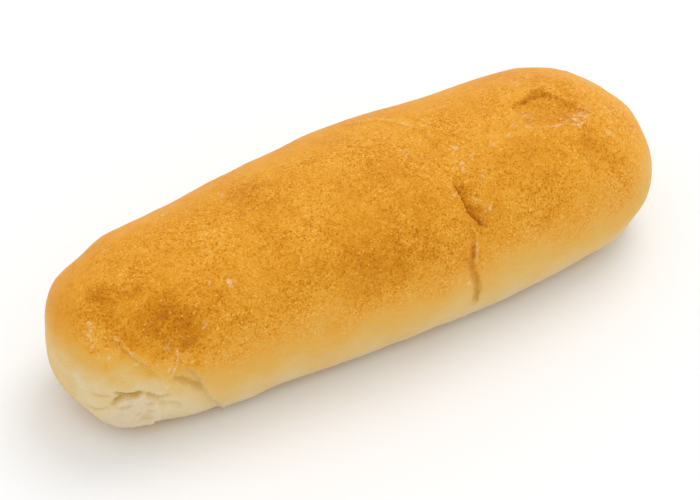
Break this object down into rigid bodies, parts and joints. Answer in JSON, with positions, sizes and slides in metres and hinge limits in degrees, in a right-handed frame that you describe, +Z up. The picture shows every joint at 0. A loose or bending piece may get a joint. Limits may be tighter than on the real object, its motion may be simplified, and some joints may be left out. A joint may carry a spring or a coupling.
{
  "type": "bread roll",
  "caption": "Soft oblong bread roll with rounded ends, a golden domed crust, a short split in one side, a collapsed blister on top and a flat underside.",
  "frame": {"origin": "bottom centre of the roll's box, on the surface that it rests on", "axes": "+X along the roll towards the end with the collapsed blister, +Z up, and the split side faces -Y"},
  "size_m": [0.17, 0.059, 0.047],
  "materials": {
    "golden_crust": "soft matt baked crust, golden brown on the crown, fading to pale cream low on the sides and at the ends, with a fine stipple"
  },
  "bodies": {
    "root": {"bread_roll": "golden_crust"}
  },
  "joints": []
}
